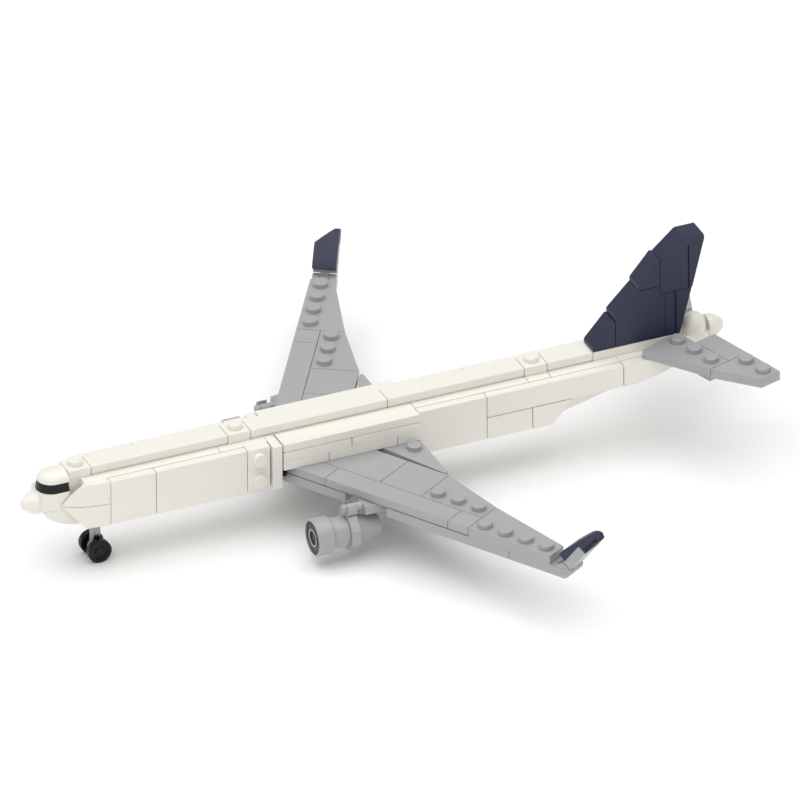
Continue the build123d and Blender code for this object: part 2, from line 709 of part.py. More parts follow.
def keep_outboard(side):
    """Cut off what lies inboard of a side distance."""
    with Locations(at((NOSE_FACE + TAIL_END) / 2, side - 5 * PITCH)):
        Box(2 * TAIL_END, 10 * PITCH, 10 * PITCH, mode=Mode.SUBTRACT)


def keep_aft(station):
    """Cut off what lies ahead of a station."""
    with Locations(at(station - 10 * PITCH)):
        Box(20 * PITCH, 20 * PITCH, 10 * PITCH, mode=Mode.SUBTRACT)


def save_pair(builder, stem):
    """Write a port piece and its mirror image for starboard."""
    for side_name, solid in (("left", builder.part), ("right", builder.part.mirror(Plane.XZ))):
        solid.label = f"{stem}_{side_name}"
        export_step(solid, f"parts/{stem}_{side_name}.step")


# ---- stabilisers ------------------------------------------------------------------------
STAB_WEDGE = [(-0.5, -1.5), (2.5, -0.5), (2.5, 0.5), (-0.5, 0.5)]
STAB_TIP = [(2.5, -0.5), (4.5, 0.5), (4.5, 1.5), (2.5, 1.5)]
STAB_LOWER = [(-0.5, -0.25), (2.2, -0.25), (2.2, 1.5), (-0.5, 1.5)]
ROOT_GAP = 0.1
stab_upper = swept_plane(STAB_STUD, STAB_SWEEP, BODY_HEIGHT)
stab_lower = swept_plane(STAB_STUD, STAB_SWEEP, BODY_HEIGHT - PLATE)
with BuildPart() as stabiliser_lower:
    plate_prism(stab_lower, STAB_LOWER, SEAM, 0, PLATE)
    plate_prism(stab_lower, STAB_LOWER, SEAM + WALL, 0, PLATE - ROOF, Mode.SUBTRACT)
    keep_outboard(SKIN_HALF + ROOT_GAP)
with BuildPart() as stabiliser:
    plate_prism(stab_upper, STAB_WEDGE, SEAM, 0, PLATE)
    keep_outboard(CORE_HALF + ROOT_GAP)
    swept_tile(stab_upper, band(0.5, 2.5, 0.5, 1.5))
    hollow_plate(stab_upper, STAB_TIP, [(3.5, 1)])
    swept_studs(stab_upper, [(0, 0), (1, 0), (2, 0), (3, 1), (4, 1)])
    add(stabiliser_lower.part)
save_pair(stabiliser, "stabiliser")

# ---- wings ----------------------------------------------------------------------------------
WING_INNER = [(-0.5, -0.5), (2.5, -0.5), (2.5, 0.5), (-0.5, 1.5)]
WING_OUTER = [(2.5, -1.5), (6.5, -1.5), (6.5, -0.5), (2.5, 0.5)]
ROOT_OUT = -7.2
ROOT_START = FAIRING_START + 0.2
TILE_SET_BACK = 2.4
FRONT_ROW = (-1.5, -0.5)
REAR_ROW = (-0.5, 1.5)
wing_upper = swept_plane(WING_STUD, WING_SWEEP, PLATE)
wing_lower = swept_plane(WING_STUD, WING_SWEEP, 0)

with BuildPart() as wing_tiles:
    for inner, outer in ((ROOT_OUT, -4.5), (-4.5, 1.5), (1.5, 2.5)):
        swept_tile(wing_upper, band(inner, outer, *FRONT_ROW))
    for inner, outer in ((ROOT_OUT, -2.5), (-2.5, -0.5)):
        swept_tile(wing_upper, band(inner, outer, *REAR_ROW))
    keep_outboard(CORE_HALF + ROOT_GAP)
    keep_aft(ROOT_START + TILE_SET_BACK)
save_pair(wing_tiles, "wing_tiles")

with BuildPart() as wing_inner_wedge:
    plate_prism(wing_upper, WING_INNER, SEAM, 0, PLATE)
    swept_studs(wing_upper, [(count, 0) for count in range(3)])
save_pair(wing_inner_wedge, "wing_inner_wedge")

with BuildPart() as wing_outer_wedge:
    plate_prism(wing_upper, WING_OUTER, SEAM, 0, PLATE)
    swept_studs(wing_upper, [(count, -1) for count in range(3, 7)])
save_pair(wing_outer_wedge, "wing_outer_wedge")

PYLON_OUT = (ENGINE_SIDE - WING_STUD[1] - PYLON_ROW * wing_upper.y_dir.Y) / wing_upper.x_dir.Y / PITCH
PYLON_GAP = (PYLON_OUT - 1.1, PYLON_OUT + 0.9)
HINGE_BASE_END = 6.7
LOWER_REAR = [(ROOT_OUT, -0.5), (2.5, -0.5), (2.5, 0.4), (-0.5, 1.4), (ROOT_OUT, 1.4)]
FINGER_CENTRE = -PITCH
HINGE_HEIGHT = 2.6
FINGER_RISE = 0.6
FINGER_GAP = 0.15
BLADE_HALF = PITCH / 2 - SEAM
OUTER_FINGER = BLADE_HALF - FINGER_WIDTH / 2 - FINGER_GAP
PIN_RADIUS = 0.9
hinge_plane = Plane(
    origin=wing_lower.from_local_coords(Vector(HINGE_OUT, FINGER_CENTRE, HINGE_HEIGHT)),
    x_dir=wing_lower.x_dir,
    z_dir=-wing_lower.y_dir,
)
with BuildPart() as wing_plates:
    hollow_plate(
        wing_lower,
        band(ROOT_OUT, PYLON_GAP[0], *FRONT_ROW),
        posts_between(ROOT_OUT, PYLON_GAP[0], -1),
    )
    hollow_plate(
        wing_lower,
        band(PYLON_GAP[1], 4.5, *FRONT_ROW),
        posts_between(PYLON_GAP[1], 4.5, -1),
    )
    hollow_plate(wing_lower, LOWER_REAR, posts_between(ROOT_OUT, 0.5, 0.5))
    hollow_plate(wing_lower, band(4.5, HINGE_BASE_END, *FRONT_ROW), posts_between(4.5, HINGE_BASE_END, -1))
    # Two outer fingers hold the winglet's middle finger between them.
    arm_start = PITCH * HINGE_BASE_END - 1.0
    for start in (-BLADE_HALF, BLADE_HALF - OUTER_FINGER):
        with Locations(hinge_plane.offset(start)):
            Cylinder(HINGE_RADIUS, OUTER_FINGER, align=(Align.CENTER, Align.CENTER, Align.MIN))
            with Locations(((arm_start - HINGE_OUT) / 2, (FINGER_RISE - HINGE_HEIGHT) / 2)):
                Box(
                    HINGE_OUT - arm_start,
                    HINGE_HEIGHT + FINGER_RISE,
                    OUTER_FINGER,
                    align=(Align.CENTER, Align.CENTER, Align.MIN),
                )
    with Locations(hinge_plane):
        Cylinder(PIN_RADIUS + RUNNING_FIT, 3 * BLADE_HALF, mode=Mode.SUBTRACT)
    keep_outboard(CORE_HALF + ROOT_GAP)
    keep_aft(ROOT_START)
save_pair(wing_plates, "wing_plates")

# A plate with a cut corner closes the angle between each wing's rear edge and the fuselage.
FILLER_FRONT = 91.1
FILLER_OUT = 35.0
FILLER_STUD = (104.0, 16.0)
with BuildPart() as wing_fillers:
    for sign in (1, -1):
        with BuildSketch(Plane.XY.offset(BELLY_HEIGHT + PLATE)):
            outline([
                at(FILLER_FRONT, sign * (CORE_HALF + ROOT_GAP))[:2],
                at(FAIRING_END - 1.4, sign * (FILLER_OUT - 1.0))[:2],
                at(FAIRING_END - 2 * SEAM, sign * (FILLER_OUT - 1.0))[:2],
                at(FAIRING_END - 2 * SEAM, sign * (CORE_HALF + ROOT_GAP))[:2],
            ])
        extrude(amount=PLATE)
        stud(at(FILLER_STUD[0], sign * FILLER_STUD[1], 2 * PLATE))
save(wing_fillers, "wing_fillers")

# ---- winglets ------------------------------------------------------------------------------
# The canted frame of a winglet stands on the hinge line: x runs up the blade, y runs
# inboard and up, z runs forward along the hinge.
cant = math.radians(WINGLET_CANT)
outboard = wing_lower.x_dir
blade_up = outboard * math.cos(cant) + Vector(0, 0, 1) * math.sin(cant)
winglet_plane = Plane(origin=hinge_plane.origin, x_dir=blade_up, z_dir=hinge_plane.z_dir)
ARM_START = HINGE_RADIUS + 0.3
ARM_END = 12.4
with BuildPart() as winglet_hinge:
    with Locations(winglet_plane.offset(-BLADE_HALF)):
        with Locations(((ARM_START + ARM_END) / 2, 0)):
            Box(
                ARM_END - ARM_START,
                PLATE,
                2 * BLADE_HALF,
                align=(Align.CENTER, Align.CENTER, Align.MIN),
            )
    with Locations(winglet_plane.offset(-FINGER_WIDTH / 2)):
        Cylinder(HINGE_RADIUS, FINGER_WIDTH, align=(Align.CENTER, Align.CENTER, Align.MIN))
        with Locations((ARM_START / 2, 0)):
            Box(
                ARM_START,
                PLATE,
                FINGER_WIDTH,
                align=(Align.CENTER, Align.CENTER, Align.MIN),
            )
    with Locations(winglet_plane):
        Cylinder(PIN_RADIUS, 2 * BLADE_HALF)
save_pair(winglet_hinge, "winglet_hinge")

BLADE_START = 3.7
BLADE_TIP = 17.4
BLADE_FOOT = PLATE / 2 + 3.0
BLADE_CURVE = 12.0
SWEEP_START = 12.2
TIP_CORNER = (BLADE_TIP + SEAM, 1.6 - BLADE_HALF)
SLOT_START = 12.9
SLOT_END = 16.2
SLOT_DEPTH = 1.1
SLOT_MARGIN = 0.3


def tip_edge(up):
    """Return how far forward the swept tip edge lies at a distance up the blade."""
    share = (up - SWEEP_START) / (TIP_CORNER[0] - SWEEP_START)
    return BLADE_HALF + share * (TIP_CORNER[1] - BLADE_HALF)


with BuildPart() as winglet_blade:
    with BuildSketch(winglet_plane.offset(-BLADE_HALF)):
        with BuildLine():
            Line((BLADE_START, PLATE / 2), (BLADE_START, BLADE_FOOT))
            Spline(
                (BLADE_START, BLADE_FOOT),
                (BLADE_CURVE, PLATE),
                (BLADE_TIP, 0),
                tangents=((1, 0), (0.35, -1)),
            )
            Line((BLADE_TIP, 0), (BLADE_TIP - 0.8, -PLATE / 2))
            Line((BLADE_TIP - 0.8, -PLATE / 2), (ARM_END + SEAM, -PLATE / 2))
            Line((ARM_END + SEAM, -PLATE / 2), (ARM_END + SEAM, PLATE / 2))
            Line((ARM_END + SEAM, PLATE / 2), (BLADE_START, PLATE / 2))
        make_face()
    extrude(amount=2 * BLADE_HALF)
    with BuildSketch(Plane(origin=winglet_plane.origin, x_dir=blade_up, z_dir=-winglet_plane.y_dir)):
        outline([
            (SWEEP_START, BLADE_HALF),
            TIP_CORNER,
            (TIP_CORNER[0], BLADE_HALF + SEAM),
            (SWEEP_START, BLADE_HALF + SEAM),
        ])
    extrude(amount=PITCH, both=True, mode=Mode.SUBTRACT)
    # The hollow along the blade's outer leading corner.
    slot_level = winglet_plane.origin - winglet_plane.y_dir * (PLATE / 2 - SLOT_MARGIN)
    with BuildSketch(Plane(origin=slot_level, x_dir=blade_up, z_dir=-winglet_plane.y_dir)):
        outline([
            (SLOT_START, tip_edge(SLOT_START) - SLOT_DEPTH),
            (SLOT_START, BLADE_HALF),
            (SLOT_END, BLADE_HALF),
            (SLOT_END, tip_edge(SLOT_END) - SLOT_DEPTH),
        ])
    extrude(amount=-SLOT_DEPTH, mode=Mode.SUBTRACT)
save_pair(winglet_blade, "winglet_blade")

# ---- engines ---------------------------------------------------------------------------------
ENGINE_AXIS = PLATE / 2 - ENGINE_DROP
COWL_LIP = 0.6
FAN_DEPTH = 1.8
FAN_THICKNESS = 1.4
FAN_RADIUS = COWL_RADIUS - COWL_LIP
HUB_OUTER = 3.1
HUB_INNER = 2.5
BARREL_START = ENGINE_FACE + COWL_LENGTH
BRACKET_START = BARREL_START + BARREL_LENGTH + 0.2
BRACKET_END = BRACKET_START + PLATE
BAR_HEIGHT = PLATE / 2


def fore_aft(start, side, height):
    """Return a plane across the fuselage whose normal runs aft."""
    return Plane(origin=at(start, side, height), x_dir=(0, 1, 0), z_dir=(-1, 0, 0))


def barrel(start, end, radius, height=ENGINE_AXIS, mode=Mode.ADD):
    """Add or cut a round length that runs fore and aft at the port engine."""
    with Locations(fore_aft(start, ENGINE_SIDE, height)):
        Cylinder(radius, end - start, align=(Align.CENTER, Align.CENTER, Align.MIN), mode=mode)


with BuildPart() as engine_pylon:
    half = PITCH / 2 - SEAM
    slab(
        (PYLON_STATION - half, PYLON_STATION + half),
        (ENGINE_SIDE - half, ENGINE_SIDE + half),
        (0, PLATE),
    )
    barrel(BAR_FRONT, PYLON_STATION - half + 1, BAR_RADIUS, BAR_HEIGHT)
save_pair(engine_pylon, "engine_pylon")

with BuildPart() as engine_cowl:
    barrel(ENGINE_FACE, BARREL_START, COWL_RADIUS)
    chamfer(engine_cowl.edges(), 0.3)
    barrel(ENGINE_FACE, ENGINE_FACE + FAN_DEPTH, FAN_RADIUS, mode=Mode.SUBTRACT)
    barrel(BARREL_START, BARREL_START + BARREL_LENGTH + 0.1, BARREL_RADIUS)
save_pair(engine_cowl, "engine_cowl")

with BuildPart() as engine_fan:
    barrel(ENGINE_FACE + FAN_DEPTH - FAN_THICKNESS, ENGINE_FACE + FAN_DEPTH, FAN_RADIUS - RUNNING_FIT)
    barrel(ENGINE_FACE + FAN_DEPTH - FAN_THICKNESS - 0.3, ENGINE_FACE + FAN_DEPTH - 0.5, HUB_OUTER)
    barrel(
        ENGINE_FACE + FAN_DEPTH - FAN_THICKNESS - 0.3,
        ENGINE_FACE + FAN_DEPTH - FAN_THICKNESS + 0.2,
        HUB_INNER,
        mode=Mode.SUBTRACT,
    )
save_pair(engine_fan, "engine_fan")

CLIP_BORE = BAR_RADIUS + RUNNING_FIT
CLIP_OUTER = CLIP_BORE + CLIP_WALL
CLIP_OPENING = 2.2
with BuildPart() as engine_bracket:
    with BuildSketch(fore_aft(BRACKET_START, ENGINE_SIDE, ENGINE_AXIS)):
        RegularPolygon(BRACKET_RADIUS, 8, rotation=22.5)
    extrude(amount=BRACKET_END - BRACKET_START)
    chamfer(engine_bracket.edges(), EDGE)
    barrel(BRACKET_START, BRACKET_END, CLIP_OUTER, BAR_HEIGHT)
    barrel(BRACKET_START - 1, BRACKET_END + 1, CLIP_BORE, BAR_HEIGHT, Mode.SUBTRACT)
    with Locations(at((BRACKET_START + BRACKET_END) / 2, ENGINE_SIDE, BAR_HEIGHT + 2)):
        Box(2 * PLATE, CLIP_OPENING, 4, mode=Mode.SUBTRACT)
save_pair(engine_bracket, "engine_bracket")

TAILPIPE_START = BRACKET_END + 0.1
with BuildPart() as engine_rear:
    with Locations(fore_aft(TAILPIPE_START, ENGINE_SIDE, ENGINE_AXIS)):
        Cone(
            TAILPIPE_RADIUS,
            TAILPIPE_END_RADIUS,
            TAILPIPE_LENGTH,
            align=(Align.CENTER, Align.CENTER, Align.MIN),
        )
    tailpipe_end = TAILPIPE_START + TAILPIPE_LENGTH
    barrel(tailpipe_end - PLATE, tailpipe_end, TAILPIPE_END_RADIUS - 0.8, mode=Mode.SUBTRACT)
save_pair(engine_rear, "engine_rear")

# ---- landing gear ----------------------------------------------------------------------------
AXLE_HEIGHT = WHEEL_RADIUS - BELLY_HEIGHT
EYE_RADIUS = 2.2
WHEEL_INNER = 2.2
TREAD = 0.3
LEG_HALF = 1.4
CROSS_PLATE_HALF = PITCH / 2 - SEAM
CROSS_PLATE_REACH = 1.5 * PITCH


def across(station, side):
    """Return the place on an axle whose length runs across the fuselage."""
    return Plane(origin=at(station, side, AXLE_HEIGHT), x_dir=(1, 0, 0), z_dir=(0, 1, 0))


def wheel_leg(station, side, top):
    """Add an upright leg with a rounded eye at the axle, bored for it."""
    with Locations(across(station, side)):
        Cylinder(EYE_RADIUS, 2 * STRUT_HALF)
    slab(
        (station - LEG_HALF, station + LEG_HALF),
        (side - STRUT_HALF, side + STRUT_HALF),
        (AXLE_HEIGHT, top),
        0,
    )
    with Locations(across(station, side)):
        Cylinder(AXLE_RADIUS + RUNNING_FIT, 4 * STRUT_HALF, mode=Mode.SUBTRACT)


def wheel_pair(station, side):
    """Add two wheels joined by their axle."""
    with Locations(across(station, side)):
        Cylinder(AXLE_RADIUS, 2 * (WHEEL_INNER + WHEEL_WIDTH))
    wheel = Cylinder(WHEEL_RADIUS, WHEEL_WIDTH, mode=Mode.PRIVATE).solid()
    wheel = wheel.chamfer(TREAD, None, wheel.edges().filter_by(GeomType.CIRCLE))
    for sign in (1, -1):
        with Locations(across(station, side + sign * (WHEEL_INNER + WHEEL_WIDTH / 2))):
            add(wheel)


with BuildPart() as nose_strut:
    wheel_leg(NOSE_GEAR_STATION, 0, 0)
save(nose_strut, "nose_strut")

with BuildPart() as nose_wheels:
    wheel_pair(NOSE_GEAR_STATION, 0)
save(nose_wheels, "nose_wheels")

with BuildPart() as main_gear_struts:
    slab(
        (MAIN_GEAR_STATION - CROSS_PLATE_HALF, MAIN_GEAR_STATION + CROSS_PLATE_HALF),
        (-CROSS_PLATE_REACH, CROSS_PLATE_REACH),
        (-PLATE, 0),
    )
    for sign in (1, -1):
        wheel_leg(MAIN_GEAR_STATION, sign * MAIN_GEAR_SIDE, -PLATE)
save(main_gear_struts, "main_gear_struts")

for side_name, sign in SIDES:
    with BuildPart() as main_wheels:
        wheel_pair(MAIN_GEAR_STATION, sign * MAIN_GEAR_SIDE)
    save(main_wheels, f"main_wheels_{side_name}")
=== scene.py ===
"""Finishes, detail pieces, studio and camera for a desktop airliner made of moulded bricks."""

import json
import logging
import math
from collections.abc import Callable
from dataclasses import dataclass, field
from enum import Enum

import bpy
from mathutils import Matrix, Vector


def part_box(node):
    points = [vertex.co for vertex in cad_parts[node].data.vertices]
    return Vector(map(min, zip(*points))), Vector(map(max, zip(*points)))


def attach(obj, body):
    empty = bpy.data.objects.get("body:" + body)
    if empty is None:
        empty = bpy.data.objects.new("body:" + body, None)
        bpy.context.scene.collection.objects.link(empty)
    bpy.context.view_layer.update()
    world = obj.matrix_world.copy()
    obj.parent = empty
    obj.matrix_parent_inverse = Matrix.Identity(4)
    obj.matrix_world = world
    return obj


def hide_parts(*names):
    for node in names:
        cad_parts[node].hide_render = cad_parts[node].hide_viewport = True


MM = 0.001
ROUNDED_ANGLE = math.radians(35)
SMOOTH_ANGLE = math.radians(40)
MERGE_DISTANCE = 0.002 * MM
ROUND_SIDES = 64
LOG = logging.getLogger("airliner")

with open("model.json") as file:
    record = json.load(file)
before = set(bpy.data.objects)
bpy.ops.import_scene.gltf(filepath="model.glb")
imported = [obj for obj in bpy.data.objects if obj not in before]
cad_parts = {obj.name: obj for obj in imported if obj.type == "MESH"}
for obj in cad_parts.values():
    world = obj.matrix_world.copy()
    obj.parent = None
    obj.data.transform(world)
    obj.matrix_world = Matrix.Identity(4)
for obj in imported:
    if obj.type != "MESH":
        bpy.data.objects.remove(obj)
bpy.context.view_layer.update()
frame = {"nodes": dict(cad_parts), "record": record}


# ---- small helpers --------------------------------------------------------------------


def hex_to_linear(code: str) -> tuple[float, float, float, float]:
    """Turn an sRGB hex colour into linear light.

    Args:
        code: Six hex digits after a hash sign.

    Returns:
        Linear red, green and blue, and an alpha of one.
    """
    parts = [int(code[start:start + 2], 16) / 255 for start in (1, 3, 5)]
    linear = [p / 12.92 if p <= 0.04045 else ((p + 0.055) / 1.055) ** 2.4 for p in parts]
    return (*linear, 1.0)


def add_node(
    tree: bpy.types.NodeTree,
    kind: str,
    settings: dict[str, object] | None = None,
    inputs: dict[str, object] | None = None,
) -> bpy.types.Node:
    """Add one shader node with its settings, input values and links.

    Args:
        tree: The material's node tree.
        kind: The node's type name.
        settings: Attributes to set on the node.
        inputs: Input name to a value, or to an output socket to link from.

    Returns:
        The new node.
    """
    node = tree.nodes.new(kind)
    for name, value in (settings or {}).items():
        setattr(node, name, value)
    for name, value in (inputs or {}).items():
        if isinstance(value, bpy.types.NodeSocket):
            tree.links.new(value, node.inputs[name])
        else:
            node.inputs[name].default_value = value
    return node


def start_round(name: str, axis: str, radius: float, length: float, centre: Vector) -> bpy.types.Object:
    """Add a closed round blank whose length runs along X, Y or Z, with its place in its mesh.

    Args:
        name: The new piece's name.
        axis: "X", "Y" or "Z".
        radius: Its radius, in metres.
        length: Its length, in metres.
        centre: The middle of the blank, in metres.

    Returns:
        The new object, alone in the selection.
    """
    bpy.ops.object.select_all(action="DESELECT")
    turn = {"X": (0, math.pi / 2, 0), "Y": (math.pi / 2, 0, 0), "Z": (0, 0, 0)}[axis]
    bpy.ops.mesh.primitive_cylinder_add(
        vertices=ROUND_SIDES,
        radius=radius,
        depth=length,
        location=centre,
        rotation=turn,
    )
    piece = bpy.context.object
    piece.name = name
    bpy.ops.object.transform_apply(location=True, rotation=True, scale=True)
    return piece


def pick_faces(piece: bpy.types.Object, wanted: Callable[[Vector, Vector], bool]) -> None:
    """Select, in edit mode, the faces of a piece whose centre and normal pass a test.

    Args:
        piece: The active object, in edit mode.
        wanted: Takes a face's centre and normal, and says whether it is wanted.
    """
    bpy.ops.mesh.select_mode(type="FACE")
    bpy.ops.mesh.select_all(action="DESELECT")
    bpy.ops.object.mode_set(mode="OBJECT")
    for face in piece.data.polygons:
        face.select = wanted(face.center, face.normal)
    bpy.ops.object.mode_set(mode="EDIT")


def step_in(inset: float, move: Vector) -> None:
    """Inset the selected end face and push the new face in or out.

    Args:
        inset: How far the new edge lies inside the old one, in metres.
        move: How far the inner face moves, in metres.
    """
    bpy.ops.mesh.inset(thickness=inset)
    bpy.ops.mesh.extrude_region_move(TRANSFORM_OT_translate={"value": tuple(move)})


def join(pieces: list[bpy.types.Object], name: str) -> bpy.types.Object:
    """Join several meshes into one named piece.

    Args:
        pieces: The objects to join.
        name: The joined piece's name.

    Returns:
        The joined object.
    """
    bpy.ops.object.select_all(action="DESELECT")
    for piece in pieces:
        piece.select_set(True)
    bpy.context.view_layer.objects.active = pieces[0]
    bpy.ops.object.join()
    pieces[0].name = name
    return pieces[0]


def soften(piece: bpy.types.Object, width: float, segments: int = 3) -> None:
    """Round a piece's sharp edges and shade its smooth parts smooth.

    Args:
        piece: The object to round.
        width: How wide each rounded edge is, in metres.
        segments: How many faces go round each edge.
    """
    bpy.ops.object.select_all(action="DESELECT")
    piece.select_set(True)
    bpy.context.view_layer.objects.active = piece
    bevel = piece.modifiers.new("mould radius", "BEVEL")
    bevel.width = width
    bevel.segments = segments
    bevel.limit_method = "ANGLE"
    bevel.angle_limit = ROUNDED_ANGLE
    bpy.ops.object.modifier_apply(modifier=bevel.name)
    bpy.ops.object.mode_set(mode="EDIT")
    bpy.ops.mesh.select_all(action="SELECT")
    bpy.ops.mesh.remove_doubles(threshold=MERGE_DISTANCE)
    bpy.ops.mesh.normals_make_consistent(inside=False)
    bpy.ops.object.mode_set(mode="OBJECT")
    bpy.ops.object.shade_smooth_by_angle(angle=SMOOTH_ANGLE)


# ---- finishes ---------------------------------------------------------------------------


class Shade(Enum):
    """The colours the bricks are moulded in, as the finish sees them."""

    WARM_WHITE = "#F3F0E7"
    BLUISH_GREY = "#ABADAD"
    DARK_BLUE = "#2A2F46"
    DARK_GREY = "#33342F"
    BLACK = "#0C0C0D"


@dataclass(frozen=True)
class MouldedABS:
    """Injection-moulded ABS: an even body colour under a smooth, slightly satin skin.

    The polished mould leaves a clear soft highlight. The melt leaves faint cloudiness in the
    colour and very shallow sink ripples, and handling leaves fine hairline scuffs.
    """

    name: str
    shade: Shade
    roughness: float
    cloud_mm: float = 9.0
    cloud_depth: float = 0.05
    ripple_mm: float = 3.2
    ripple_height_mm: float = 0.004
    specular: float = 0.5
    refraction: float = 1.53
    scuff_mm: float = 0.35
    scuff_stretch: float = 0.12
    scuff_depth: float = 0.02
    edge_mm: float = 0.16

    def build(self) -> bpy.types.Material:
        """Return the material with its colour, roughness and bump nodes."""
        material = bpy.data.materials.new(self.name)
        material.use_nodes = True
        tree = material.node_tree
        tree.nodes.clear()
        place = add_node(tree, "ShaderNodeTexCoord")
        cloud = add_node(
            tree,
            "ShaderNodeTexNoise",
            inputs={"Vector": place.outputs["Object"], "Scale": 1 / (self.cloud_mm * MM), "Detail": 2.0},
        )
        body = hex_to_linear(self.shade.value)
        dark = tuple(c * (1 - self.cloud_depth) for c in body[:3]) + (1.0,)
        colour = add_node(tree, "ShaderNodeMix", {"data_type": "RGBA"}, {"Factor": cloud.outputs["Fac"]})
        colour.inputs[6].default_value = dark
        colour.inputs[7].default_value = body
        scuff_space = add_node(
            tree,
            "ShaderNodeMapping",
            inputs={"Vector": place.outputs["Object"], "Scale": (self.scuff_stretch, 1.0, 1.0)},
        )
        scuff = add_node(
            tree,
            "ShaderNodeTexNoise",
            inputs={
                "Vector": scuff_space.outputs["Vector"],
                "Scale": 1 / (self.scuff_mm * MM),
                "Detail": 3.0,
            },
        )
        rough = add_node(
            tree,
            "ShaderNodeMapRange",
            inputs={
                "Value": scuff.outputs["Fac"],
                "From Min": 0.3,
                "From Max": 0.75,
                "To Min": self.roughness - self.scuff_depth,
                "To Max": self.roughness + self.scuff_depth,
            },
        )
        ripple = add_node(
            tree,
            "ShaderNodeTexNoise",
            inputs={"Vector": place.outputs["Object"], "Scale": 1 / (self.ripple_mm * MM), "Detail": 1.0},
        )
        edge = add_node(tree, "ShaderNodeBevel", {"samples": 4}, {"Radius": self.edge_mm * MM})
        bump = add_node(
            tree,
            "ShaderNodeBump",
            inputs={
                "Height": ripple.outputs["Fac"],
                "Distance": self.ripple_height_mm * MM,
                "Strength": 1.0,
                "Normal": edge.outputs["Normal"],
            },
        )
        shader = add_node(
            tree,
            "ShaderNodeBsdfPrincipled",
            inputs={
                "Base Color": colour.outputs[2],
                "Roughness": rough.outputs["Result"],
                "IOR": self.refraction,
                "Specular IOR Level": self.specular,
                "Normal": bump.outputs["Normal"],
            },
        )
        add_node(tree, "ShaderNodeOutputMaterial", inputs={"Surface": shader.outputs["BSDF"]})
        return material


@dataclass
class Finishes:
    """Every finish on the model, built once and kept by the record's slot name."""

    white: MouldedABS = MouldedABS("moulded ABS warm white", Shade.WARM_WHITE, 0.30)
    grey: MouldedABS = MouldedABS("moulded ABS bluish grey", Shade.BLUISH_GREY, 0.32)
    blue: MouldedABS = MouldedABS("moulded ABS dark blue", Shade.DARK_BLUE, 0.42, specular=0.36)
    black: MouldedABS = MouldedABS("moulded ABS black", Shade.BLACK, 0.36, specular=0.3)
    dark_grey: MouldedABS = MouldedABS("moulded ABS dark grey", Shade.DARK_GREY, 0.40, specular=0.34)
    made: dict[str, bpy.types.Material] = field(default_factory=dict)

    def build(self) -> None:
        """Build the materials."""
        for slot, finish in (
            ("white_plastic", self.white),
            ("grey_plastic", self.grey),
            ("dark_blue_plastic", self.blue),
            ("black_plastic", self.black),
            ("dark_grey_plastic", self.dark_grey),
        ):
            self.made[slot] = finish.build()
            LOG.info("finish %s", finish.name)

    def dress(self, piece: bpy.types.Object, slot: str) -> None:
        """Give a piece one of the finishes.

        Args:
            piece: The object to dress.
            slot: The finish's name: one of the record's slots, or dark_grey_plastic.
        """
        piece.data.materials.clear()
        piece.data.materials.append(self.made[slot])


@dataclass
class MouldedBricks:
    """The CAD bricks whose shapes are shown as they are."""

    finishes: Finishes

    def dress(self) -> None:
        """Give every CAD node the finish its slot names."""
        for part in frame["record"]["subparts"]:
            self.finishes.dress(frame["nodes"][part["node"]], part["material_slot"])
            LOG.info("dressed %s", part["node"])


def place_piece(piece: bpy.types.Object, body: str) -> None:
    """Let a new piece ride on a body.

    Args:
        piece: The new piece.
        body: The body it moves with.
    """
    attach(piece, body)
    LOG.info("built %s on %s", piece.name, body)


# ---- landing gear ---------------------------------------------------------------------------


@dataclass
class WheelPair:
    """Two small black wheels on one axle, with rounded tyres and sunk hubs."""

    node: str
    finishes: Finishes
    tyre_width: float = 2.3 * MM
    axle_radius: float = 1.2 * MM
    shoulder: float = 0.33 * MM
    axle_edge: float = 0.1 * MM
    hub_rim: float = 1.25 * MM
    hub_sink: float = 0.55 * MM
    boss_rim: float = 1.2 * MM
    boss_rise: float = 0.35 * MM

    def build_wheel(self, name: str, centre: Vector, radius: float, outward: int) -> bpy.types.Object:
        """Return one wheel with its hub sunk on both faces.

        Args:
            name: The wheel's name.
            centre: The middle of the wheel.
            radius: The tyre's radius.
            outward: 1 where the wheel's outer face looks to port, -1 to starboard.

        Returns:
            The wheel's object.
        """
        wheel = start_round(name, "Y", radius, self.tyre_width, centre)
        bpy.ops.object.mode_set(mode="EDIT")
        for side in (1, -1):
            pick_faces(wheel, lambda place, normal: normal.y * side > 0.9)
            step_in(self.hub_rim, Vector((0, -side * self.hub_sink, 0)))
            if side == outward:
                step_in(self.boss_rim, Vector((0, side * self.boss_rise, 0)))
        bpy.ops.object.mode_set(mode="OBJECT")
        return wheel

    def build(self) -> None:
        """Build both wheels and the axle in place of the plain pair."""
        low, high = (Vector(corner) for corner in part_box(self.node))
        centre = (low + high) / 2
        radius = (high.z - low.z) / 2
        reach = (high.y - low.y) / 2 - self.tyre_width / 2
        parts = [
            self.build_wheel(f"wheel_{side}", centre + Vector((0, side * reach, 0)), radius, side)
            for side in (1, -1)
        ]
        for wheel in parts:
            soften(wheel, self.shoulder)
        axle = start_round("axle", "Y", self.axle_radius, 2 * reach, centre)
        soften(axle, self.axle_edge, 1)
        pair = join([*parts, axle], f"{self.node}_tyres")
        self.finishes.dress(pair, "black_plastic")
        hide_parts(self.node)
        place_piece(pair, self.node)


